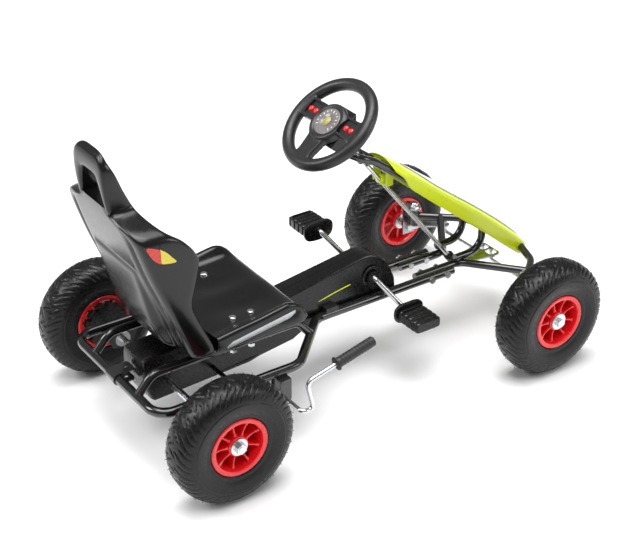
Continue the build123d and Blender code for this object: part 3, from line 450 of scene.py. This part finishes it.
def back_section(z):
    w = smooth_value(width_line, z)
    xr = smooth_value(rear_line, z)
    xf = smooth_value(inner_line, z)
    xw = max(smooth_value(wing_line, z), xf + 3)
    pod = max(0.0, smooth_value(pod_line, z))
    body_z = min(1.0, max(0.0, (530 - z) / 30))
    groove = 7 * body_z
    k = w / 150
    d = xw - xr
    lip = min(1.0, d / 30)
    half = [(xr - pod, 0), (xr - pod, 40 * k), (xr - pod * 0.96, 72 * k), (xr - pod * 0.75, 80 * k),
            (xr - pod * 0.2, 86 * k),
            (xr, 92 * k), (xr + 1, 103 * k), (xr + groove, 108 * k), (xr + groove, 114 * k),
            (xr + 1.5, 118 * k),
            (xr + 4 * lip, 135 * k), (xr + 10 * lip, 145 * k), (xr + min(24, 0.45 * d), w - 0.5),
            (xr + d * 0.6, w),
            (xw - 6 * lip, w - 0.5), (xw - lip, w - 5 * k), (xw, w - 10 * k), (xw - 2 * lip, w - 17 * k),
            (xf + (xw - xf) * 0.6, w - 24 * k), (xf + (xw - xf) * 0.25, w - 34 * k),
            (xf + 1.5 * lip, w - 58 * k),
            (xf, w * 0.3), (xf, 0)]
    points = half + [(x, -y) for x, y in reversed(half[1:-1])]
    return [MM(x, y, z) for x, y in points]


levels = [236, 237, 240, 246, 254, 262, 274, 288, 301, 320, 340, 362, 381, 400, 415, 424, 428, 432, 440,
          451, 462, 473,
          487, 500, 508, 514, 519, 524, 528, 531, 534, 537, 541, 545, 550, 555, 556]
v, f = loft([back_section(z) for z in levels])
seat_back = new_object("seat_back_shell", v, f, seat_plastic, "frame")
modifier(seat_back, "SUBSURF", levels=1, render_levels=2)
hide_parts("seat_back")

# Headrest: a ring with an open hole, grown out of the top of the back.
ring_outer = [(60, 545), (60, 570), (60, 600), (59, 622), (56, 638), (49, 650), (38, 658), (22, 661.5),
              (0, 662)]
ring_inner = [(44, 545), (43, 566), (38, 588), (33, 603), (28, 611), (21, 614), (13, 615), (6, 615), (0, 615)]
ring_outer += [(-y, z) for y, z in reversed(ring_outer[:-1])]
ring_inner += [(-y, z) for y, z in reversed(ring_inner[:-1])]
rings = []
for (y0, z0), (y1, z1) in zip(catmull(ring_outer, False, 3), catmull(ring_inner, False, 3)):
    ring = []
    for k in range(20):
        a = 2 * math.pi * k / 20
        s = 0.5 + 0.5 * math.copysign(abs(math.cos(a)) ** 0.5, math.cos(a))
        t = 0.5 + 0.5 * math.copysign(abs(math.sin(a)) ** 0.5, math.sin(a))
        y, z = y0 + (y1 - y0) * s, z0 + (z1 - z0) * s
        back_x, front_x = smooth_value(rear_line, z), smooth_value(wing_line, z)
        ring.append(MM(back_x + (front_x - back_x) * t, y, z))
    rings.append(ring)
v, f = loft(rings)
new_object("seat_headrest_ring", v, f, seat_plastic, "frame")

# Plain two-colour reflector, low on the outside of each wing, without any mark on it.
tear = catmull([(-88, 509), (-70, 504), (-50, 492), (-37, 477), (-29, 466), (-46, 467), (-63, 472), (-75, 482),
                (-83, 495)], True, 3)
for sign in (1, -1):
    tag = "l" if sign > 0 else "r"
    for label, material, keep, grow, lift in (("rim", trim_plastic, lambda x: True, 3.5, 0.3),
                                              ("red", red_film, lambda x: x < -60, 0.0, 0.8),
                                              ("amber", yellow_film, lambda x: x >= -60, 0.0, 0.8)):
        points = []
        for x, z in tear:
            out_x, out_z = x + 59, z - 487
            reach = math.hypot(out_x, out_z)
            x2, z2 = x + out_x / reach * grow, z + out_z / reach * grow
            points.append((x2 if keep(x2) else -60, z2))
        face = [MM(x, sign * (smooth_value(width_line, z) + lift), z) for x, z in points]
        behind = [MM(x, sign * (smooth_value(width_line, z) - 2.0), z) for x, z in points]
        v, f = loft([behind, face])
        new_object(f"seat_reflector_{label}_{tag}", v, f, material, "frame", smooth=False)

# ---------------------------------------------------------------- seat pan
ridge_line = [(52, 267), (97, 273), (150, 279), (200, 287), (218, 289), (232, 286), (244, 279), (256, 267),
              (264, 254),
              (268, 246)]
floor_line = [(52, 260), (100, 262), (160, 264), (215, 268), (236, 269), (252, 265), (262, 257), (268, 246)]


def pan_section(x):
    ridge = smooth_value(ridge_line, x)
    floor = min(smooth_value(floor_line, x), ridge)
    base = 236 + max(0.0, (x - 250) / 18) ** 2 * 8
    w = 150 - max(0.0, (x - 240) / 28) ** 2 * 10
    hollow = 9.0 * math.exp(-((x - 165) / 62) ** 2)
    half = [(0, base), (70, base), (w - 8, base), (w - 1.5, base + 1.5), (w, base + 7), (w, (base + ridge) / 2),
            (w - 0.5, ridge - 6), (w - 4, ridge - 1), (w - 10, ridge), (w - 17, ridge - 2),
            (w - 24, floor + (ridge - floor) * 0.4),
            (w - 34, floor + (ridge - floor) * 0.08), (w - 46, floor), (78, floor - hollow * 0.5),
            (55, floor - hollow),
            (30, floor - hollow * 0.8), (0, floor - hollow * 0.15)]
    points = half + [(-y, z) for y, z in reversed(half[1:-1])]
    return [MM(x, y, z) for y, z in points]


stations = [52.4, 54, 60, 75, 90, 105, 120, 135, 150, 165, 180, 195, 205, 212, 218, 225, 232, 240, 248, 255,
            260, 264, 267]
v, f = loft([pan_section(x) for x in stations])
seat_pan = new_object("seat_pan_shell", v, f, seat_plastic, "frame")
modifier(seat_pan, "SUBSURF", levels=1, render_levels=2)
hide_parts("seat_base")
bevelled_box("seat_under_box_left", MM(150, 85, 223), (194, 40, 27.6), trim_plastic, "frame", width=5)
bevelled_box("seat_under_box_right", MM(150, -85, 223), (194, 40, 27.6), trim_plastic, "frame", width=5)

# Plain pale stripe in each side of the pan.
for sign in (1, -1):
    strip = []
    for k in range(13):
        t = k / 12
        x = 72 + 158 * t
        low = 240 + 22 * t + (6 if k == 12 else 0)
        high = 250 + 24 * t - (5 if k == 0 else 0)
        strip.append([MM(x, sign * 150.25, low), MM(x, sign * 150.25, high)])
    v, f = loft(strip, closed=False, caps=False)
    stripe = new_object(f"seat_stripe_{'l' if sign > 0 else 'r'}", v, f, stripe_film, "frame")
    modifier(stripe, "SOLIDIFY", thickness=0.0004, offset=0)

# Seat bolts: polished domes on dark washers.
for index, x in enumerate((121, 163)):
    for sign in (1, -1):
        at = MM(x, 90 * sign, 260.6)
        v, f = lathe([(0.01, 6.0), (3.5, 5.6), (6.4, 4.0), (8.2, 1.4), (8.6, 0.2), (8.6, -1.0),
                      (0.01, -1.0)], at, (0, 0, 1), 40)
        new_object(f"seat_bolt_dome_{index}_{'l' if sign > 0 else 'r'}", v, f, zinc, "frame")
        v, f = lathe([(8.4, 0.6), (10.6, 0.6), (11.2, 0.0), (11.2, -1.2), (8.4, -1.2)], at, (0, 0, 1), 40)
        new_object(f"seat_washer_{index}_{'l' if sign > 0 else 'r'}", v, f, trim_plastic, "frame")
dress("seat_bolts", zinc)

# ---------------------------------------------------------------- hood
crest_line = [(545, 468), (572, 450), (600, 431), (655, 391), (700, 359), (773, 305), (850, 248),
              (907, 194), (940, 160)]
crease_line = [(545, 452), (572, 438), (600, 421), (655, 379), (700, 344), (773, 291), (850, 227),
               (907, 179), (940, 147)]
skirt_line = [(545, 448), (566, 428), (576, 407), (600, 386), (661, 337), (776, 247), (898, 148),
              (916, 144), (940, 144)]
half_line = [(545, 50), (552, 56), (572, 61), (880, 62), (905, 61.5), (918, 60), (926, 52), (933, 38),
             (938, 20), (940, 3)]


def hood_section(x, half):
    crest = smooth_value(crest_line, x)
    crease = smooth_value(crease_line, x)
    skirt = min(smooth_value(skirt_line, x), crease - 1)
    result = []
    result.append(MM(x, half, skirt))
    for t in (0.33, 0.66):
        result.append(MM(x, half, skirt + (crease - 4 - skirt) * t))
    result.append(MM(x, half, crease - 4))
    result.append(MM(x, half - 1.2, crease - 1.2))
    for t in (0.96, 0.88, 0.8, 0.7, 0.55, 0.4, 0.25, 0.1):
        result.append(MM(x, half * t, crease + (crest - crease) * (1 - t * t)))
    mirrored = [Vector((p.x, -p.y, p.z)) for p in reversed(result)]
    return result + mirrored


hood_rings = []
for x in (545, 552, 560, 568, 575, 585, 600, 625, 655, 680, 700, 735, 773, 810, 850, 880, 895, 907, 918,
          926, 933, 938, 940):
    hood_rings.append(hood_section(x, smooth_value(half_line, x)))
v, f = loft(hood_rings, closed=False, caps=False)
hood = new_object("hood_shell", v, f, lime, "frame")
modifier(hood, "SOLIDIFY", thickness=0.0025, offset=-1)
modifier(hood, "SUBSURF", levels=1, render_levels=2)
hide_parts("hood")
clip_low = MM(552, 0, 408)
bevelled_box("hood_clip", clip_low, (22, 30, 16), lime, "frame", width=5)
for sign in (1, -1):
    bevelled_box(f"hood_clip_arm_{'l' if sign > 0 else 'r'}", MM(552, 22 * sign, 428), (20, 3.5, 52), lime,
                 "frame",
                 width=1.5)

# Pale band on the hood's top, edged in grey; it has no lettering. Its white and grey are a sticker and also painted
# highlight, standing in for the sheen along the hood's grazing top.
for label, material, lift, share, x0, x1 in (("edge", grey_sticker_and_sheen, 0.3, 0.74, 596, 905),
                                             ("band", white_print_and_sheen, 0.6, 0.66, 602, 898)):
    rings = []
    steps = 30
    for k in range(steps + 1):
        x = x0 + (x1 - x0) * k / steps
        crest = smooth_value(crest_line, x)
        crease = smooth_value(crease_line, x)
        taper = min(1.0, 0.35 + (x - x0) / 90)
        ring = []
        for q in range(-6, 7):
            t = q / 6 * share * taper
            ring.append(MM(x, 62 * t, crease + (crest - crease) * (1 - t * t) + 0.9 + lift))
        rings.append(ring)
    v, f = loft(rings, closed=False, caps=False)
    new_object(f"hood_sticker_and_sheen_{label}", v, f, material, "frame")

# ---------------------------------------------------------------- chain guard
def guard_half_width(x, z):
    """Half width of the guard at a point of its side outline."""
    front = smooth_value([(90, 36.1), (172, 36.1), (215, 31), (250, 25.6), (256, 25)], z)
    rear = smooth_value([(90, 41.6), (185, 41.6), (200, 38), (262, 31.5)], z)
    t = min(1.0, max(0.0, (x - 190) / 18))
    return rear * (1 - t) + front * t


outline = [(-34, 97), (90, 102), (190, 106.5), (216, 108.5), (300, 119.5), (325, 132), (430, 141),
           (545, 150), (562, 156),
           (566, 165), (564, 185), (556, 208), (544, 228), (528, 243), (508, 252), (492, 253.8), (480, 253),
           (420, 243.4), (360, 233.8), (285, 222), (200, 216.2), (100, 209.4), (0, 202.6), (-50, 198.8),
           (-56, 196),
           (-58, 180), (-58.5, 160), (-51, 127), (-42, 104)]
rings = []
for share, shrink in ((-1.0, 8.0), (-1.0, 3.5), (-0.93, 0.8), (-0.8, 0.0), (-0.02, 0.0), (0.0, 1.3),
                      (0.02, 0.0),
                      (0.8, 0.0), (0.93, 0.8), (1.0, 3.5), (1.0, 8.0)):
    ring = []
    for i, (x, z) in enumerate(outline):
        before = outline[i - 1]
        after = outline[(i + 1) % len(outline)]
        tangent = Vector((after[0] - before[0], after[1] - before[1])).normalized()
        inward = Vector((-tangent.y, tangent.x))
        x2, z2 = x + inward.x * shrink, z + inward.y * shrink
        ring.append(MM(x2, guard_half_width(x2, z2) * share, z2))
    rings.append(ring)
v, f = loft(rings)
guard = new_object("chain_guard_shell", v, f, trim_plastic, "frame")
modifier(guard, "EDGE_SPLIT", split_angle=math.radians(32))
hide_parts("guard_left", "guard_right")

crank_centre = Vector(joints["crank_spin"]["pos_m"])
for sign in (1, -1):
    tag = "l" if sign > 0 else "r"
    v, f = lathe([(11, -2), (24, -2), (25.5, -1), (25.5, 1.2), (24.0, 2.2), (19.5, 2.2), (18.5, 1.0),
                  (11, 1.0)],
                 crank_centre + Vector((0, sign * 0.0325, 0)), (0, sign, 0), 56)
    new_object(f"guard_crank_ring_{tag}", v, f, trim_plastic, "frame")
    v, f = lathe([(6.6, -3), (14, -3), (15, -2), (15, 4.5), (13.8, 5.6), (6.6, 5.6)],
                 crank_centre + Vector((0, sign * 0.0335, 0)), (0, sign, 0), 6)
    new_object(f"guard_hex_boss_{tag}", v, f, trim_plastic, "crank_body", smooth=False)

# Lime underline on the right face of the guard.
line = []
for k in range(13):
    t = k / 12
    x = 322 + (447 - 322) * t
    z = 178 + (204 - 178) * t + 3.0 * math.sin(math.pi * t)
    y = -guard_half_width(x, z) - 0.9
    line.append([MM(x, y, z - 1.6), MM(x, y, z + 1.6)])
v, f = loft(line, closed=False, caps=False)
underline = new_object("guard_underline", v, f, lime_film, "frame")
modifier(underline, "SOLIDIFY", thickness=0.0003, offset=1)

# ---------------------------------------------------------------- steering wheel
turn_joint = joints["steering_turn"]
hub_at = Vector(turn_joint["pos_m"])
n_axis = Vector(turn_joint["axis"]).normalized()
x_local = Vector((0, -1, 0))
y_local = n_axis.cross(x_local).normalized()


def W(x, y, h=0.0):
    """Point in the steering wheel's own plane: right, up, towards the driver, in millimetres."""
    return hub_at + (x_local * x + y_local * y + n_axis * h) / 1000


def plate(outline_points, low, high, name):
    """Flat plate in the wheel's plane; the voxel remesh rounds its edges."""
    v, f = loft([[W(x, y, low) for x, y in outline_points], [W(x, y, high) for x, y in outline_points]])
    return new_object(name, v, f, wheel_plastic, None)


parts = []
WHEEL_RADIUS, GRIP_RADIUS = 97.5, 13.4
grip_circle = [(WHEEL_RADIUS + GRIP_RADIUS * math.cos(a * math.pi / 12),
                GRIP_RADIUS * math.sin(a * math.pi / 12))
               for a in range(24)]
v, f = lathe(grip_circle, hub_at, n_axis, 96)
parts.append(new_object("wheel_rim_part", v, f, wheel_plastic, None))
v, f = lathe([(0.1, -11), (40, -11), (43, -8), (44, 4), (43.4, 10), (40, 12.8), (35.5, 13), (33.4, 12.6),
              (32.4, 10), (0.1, 10)],
             hub_at, n_axis, 72)
parts.append(new_object("wheel_hub_part", v, f, wheel_plastic, None))
side_shape = [(-94, -10), (-78, -14), (-60, -13), (-38, -12), (38, -12), (60, -13), (78, -14), (94, -10),
              (96, 10), (94, 34),
              (80, 33), (60, 32), (40, 32), (-40, 32), (-60, 32), (-80, 33), (-94, 34), (-96, 10)]
parts.append(plate(side_shape, -7, 9, "wheel_side_part"))
low_shape = [(-27, -28), (27, -28), (24, -42), (20, -70), (22, -92), (0, -98), (-22, -92), (-20, -70),
             (-24, -42)]
parts.append(plate(low_shape, -8, 8, "wheel_low_part"))
for part in parts[1:]:
    union = modifier(parts[0], "BOOLEAN", operation="UNION", solver="EXACT")
    union.object = part
bpy.context.view_layer.update()
modifier(parts[0], "REMESH", mode="VOXEL", voxel_size=0.0016)
modifier(parts[0], "SMOOTH", factor=0.7, iterations=9)
bpy.context.view_layer.update()
merged = bpy.data.meshes.new_from_object(parts[0].evaluated_get(bpy.context.evaluated_depsgraph_get()))
for part in parts:
    bpy.data.objects.remove(part)
merged.materials.clear()
merged.materials.append(wheel_plastic)
merged.polygons.foreach_set("use_smooth", [True] * len(merged.polygons))
wheel = bpy.data.objects.new("steering_wheel_body", merged)
bpy.context.scene.collection.objects.link(wheel)
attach(wheel, "steering")
recess = [(40, -5), (44, -8), (72, -6), (77, -3), (78, 2), (76, 24), (72, 27), (46, 27), (41, 24), (39, 10)]
for sign in (1, -1):
    tag = "r" if sign > 0 else "l"
    shape = catmull([(x * sign, y) for x, y in recess], True, 3)
    v, f = loft([[W(x, y, 4.5) for x, y in shape], [W(x, y, 20) for x, y in shape]])
    pocket = new_object(f"pocket_{tag}", v, f, trim_plastic, None)
    cut = modifier(wheel, "BOOLEAN", operation="DIFFERENCE", solver="EXACT")
    cut.object = pocket
    bpy.context.view_layer.update()
    carved = bpy.data.meshes.new_from_object(wheel.evaluated_get(bpy.context.evaluated_depsgraph_get()))
    wheel.modifiers.clear()
    wheel.data = carved
    bpy.data.objects.remove(pocket)
wheel.data.materials.clear()
wheel.data.materials.append(wheel_plastic)
modifier(wheel, "EDGE_SPLIT", split_angle=math.radians(50))
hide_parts("steering_wheel")

# Dial: a printed disc with a ring of ticks, no lettering.
v, f = lathe([(0.05, 11.5), (28.5, 11.5), (30.2, 11.2), (30.6, 10.2), (30.6, 9.0), (0.05, 9.0)], hub_at,
             n_axis, 72)
dial = new_object("dial_disc", v, f, node_material("dial_face", (0.16, 0.145, 0.145), 0.25, coat=0.4,
                                                   vary=0.15), "steering")
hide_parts("dial")
tick_vertices, tick_faces = [], []
for k in range(13):
    a = math.radians(215 - 250 * k / 12)
    out = Vector((math.cos(a), math.sin(a)))
    across = Vector((-out.y, out.x))
    inner = 20.5 if k % 3 == 0 else 22.5
    base = len(tick_vertices)
    for r, s in ((inner, -0.7), (inner, 0.7), (26.0, 0.7), (26.0, -0.7)):
        p = out * r + across * s
        tick_vertices.append(W(p.x, p.y, 11.75))
    tick_faces.append((base, base + 1, base + 2, base + 3))
new_object("dial_ticks", tick_vertices, tick_faces, white_print_and_sheen, "steering")
emblem = [(0, 11), (8, 6), (9, -3), (4, -10), (-4, -10), (-9, -3), (-8, 6)]
v, f = loft([[W(x, y, 11.7) for x, y in catmull(emblem, True, 3)],
             [W(x, y, 11.9) for x, y in catmull(emblem, True, 3)]])
new_object("dial_centre", v, f, dial_gold, "steering")

for number in range(1, 5):
    low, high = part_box(f"button_{number}")
    middle = (low + high) / 2
    along = (middle - hub_at).dot(n_axis)
    foot = middle - n_axis * along
    v, f = lathe([(0.01, 9.6), (3.0, 9.2), (5.4, 7.6), (6.6, 5.4), (7.0, 3.0), (7.0, -0.5), (0.01, -0.5)],
                 foot, n_axis, 40)
    cap = new_object(f"button_cap_{number}", v, f, button_red, f"button_{number}_body")
    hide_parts(f"button_{number}")

# ---------------------------------------------------------------- pedals
for name, sign in (("left", 1), ("right", -1)):
    low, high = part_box(f"pedal_{name}")
    body = f"pedal_{name}_body"
    pivot = Vector(joints[f"pedal_{name}_spin"]["pos_m"])
    inner_y = low.y if sign > 0 else high.y

    def PP(x, along, z):
        return Vector((pivot.x + x / 1000, inner_y + sign * along / 1000, pivot.z + z / 1000))

    flange = catmull([(-37, 3), (-34, 15), (-22, 22), (0, 23), (22, 22), (34, 15), (37, 3), (34, -12),
                      (24, -20), (0, -22.5),
                      (-24, -20), (-34, -12)], True, 3)
    v, f = loft([[PP(x, 0.4, z) for x, z in flange], [PP(x, 8, z) for x, z in flange]])
    shield = new_object(f"pedal_shield_{name}", v, f, trim_plastic, body)
    modifier(shield, "BEVEL", width=0.0016, segments=3, angle_limit=math.radians(40))
    rings = []
    for along, rx, rz in ((7, 29, 11.5), (10, 31, 12.3), (14, 31.6, 12.8), (16, 30, 11.6), (18, 30, 11.6),
                          (20, 31.8, 12.8), (30, 31.8, 12.9),
                          (32, 30, 11.6), (34, 30, 11.6), (36, 31.9, 12.9), (46, 31.9, 12.9),
                          (48, 30, 11.6), (50, 30, 11.6),
                          (52, 31.8, 12.8), (62, 31.6, 12.6), (64, 30, 11.6), (66, 30, 11.6),
                          (68, 31.4, 12.4), (74, 30.5, 11.6), (76, 28.5, 9.8)):
        ring = []
        for k in range(48):
            a = 2 * math.pi * k / 48
            c, s = math.cos(a), math.sin(a)
            px = rx * math.copysign(abs(c) ** 0.28, c)
            pz = rz * math.copysign(abs(s) ** 0.28, s)
            ring.append(PP(px, along, pz))
        rings.append(ring)
    v, f = loft(rings)
    block = new_object(f"pedal_block_{name}", v, f, trim_plastic, body)
    modifier(block, "EDGE_SPLIT", split_angle=math.radians(40))
    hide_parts(f"pedal_{name}")
    for top in (1, -1):
        for k in range(5):
            along = 13 + k * 13.5
            bevelled_box(f"pedal_rib_{name}_{'t' if top > 0 else 'b'}{k}", PP(0, along + 2.2, top * 13.2),
                         (46, 3.2, 2.4),
                         trim_plastic, body, width=0.9)

# ---------------------------------------------------------------- brake grip
way = Vector((158, 0, 39)).normalized()
end = MM(350, -246, 209) + way * 0.003
profile = [(5.2, 0.0), (13.5, 0.2), (14.8, 1.4), (14.8, 3.4), (13.2, 4.8), (10.4, 6.0)]
for k in range(11):
    base = 8 + k * 7.2
    profile += [(10.9, base), (10.9, base + 4.4), (9.9, base + 5.2), (9.9, base + 6.4)]
profile += [(10.8, 88.0), (10.4, 92.0), (8.0, 94.6), (4.0, 95.4), (0.01, 95.6), (0.01, 60.0), (5.2, 59.0)]
v, f = lathe(profile, end - way * 0.0955, way, 48)
grip = new_object("brake_grip_sleeve", v, f, grip_rubber, "brake")
modifier(grip, "EDGE_SPLIT", split_angle=math.radians(55))
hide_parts("brake_grip")

# ---------------------------------------------------------------- CAD nodes: soft shading
for node, piece in frame["nodes"].items():
    if piece.hide_render:
        continue
    piece.data.polygons.foreach_set("use_smooth", [True] * len(piece.data.polygons))
    modifier(piece, "EDGE_SPLIT", split_angle=math.radians(30))

# ---------------------------------------------------------------- stage, light and camera
floor_mesh = bpy.data.meshes.new("floor")
floor_mesh.from_pydata([(-30, -30, 0), (30, -30, 0), (30, 30, 0), (-30, 30, 0)], [], [(0, 1, 2, 3)])
floor = bpy.data.objects.new("floor", floor_mesh)
bpy.context.scene.collection.objects.link(floor)
floor_paint = bpy.data.materials.new("floor_paint")
floor_paint.use_nodes = True
floor_bsdf = floor_paint.node_tree.nodes["Principled BSDF"]
floor_bsdf.inputs["Base Color"].default_value = (0.92, 0.92, 0.93, 1)
floor_bsdf.inputs["Roughness"].default_value = 0.6
floor_mesh.materials.append(floor_paint)

world = bpy.data.worlds.new("studio")
bpy.context.scene.world = world
world.use_nodes = True
world.node_tree.nodes["Background"].inputs["Color"].default_value = (1, 1, 1, 1)
world.node_tree.nodes["Background"].inputs["Strength"].default_value = 0.28


def lamp(name, at, target, size, power):
    light = bpy.data.lights.new(name, "AREA")
    light.shape = "RECTANGLE"
    light.size = size[0]
    light.size_y = size[1]
    light.energy = power
    holder = bpy.data.objects.new(name, light)
    bpy.context.scene.collection.objects.link(holder)
    holder.location = at
    holder.rotation_euler = (Vector(target) - Vector(at)).to_track_quat("-Z", "Y").to_euler()
    return holder


lamp("top_light", (0.1, 0.3, 3.2), (0, 0, 0.2), (3.0, 1.6), 60)
lamp("key_light", (-2.6, 1.4, 2.4), (0, 0, 0.3), (1.4, 1.4), 55)
lamp("fill_light", (2.4, -2.6, 1.8), (0, 0, 0.2), (1.6, 1.2), 30)
sky = bpy.data.lights.new("sky_light", "SUN")
sky.energy = 2.6
sky.angle = math.radians(50)
sky_holder = bpy.data.objects.new("sky_light", sky)
bpy.context.scene.collection.objects.link(sky_holder)
sky_holder.rotation_euler = (math.radians(8), math.radians(-6), 0)

camera_data = bpy.data.cameras.new("camera")
camera = bpy.data.objects.new("camera", camera_data)
bpy.context.scene.collection.objects.link(camera)
camera_data.sensor_width = 36
camera_data.lens = 86.29
camera_data.clip_end = 50
azimuth, elevation = math.radians(-34.42), math.radians(29.86)
back = Vector((math.sin(azimuth) * math.cos(elevation), -math.cos(azimuth) * math.cos(elevation),
               math.sin(elevation)))
camera.rotation_euler = (-back).to_track_quat("-Z", "Y").to_euler()
camera.location = MM(470.95, 128.23, 150) + back * 3.3657
bpy.context.scene.camera = camera
bpy.context.scene.view_settings.view_transform = "Standard"
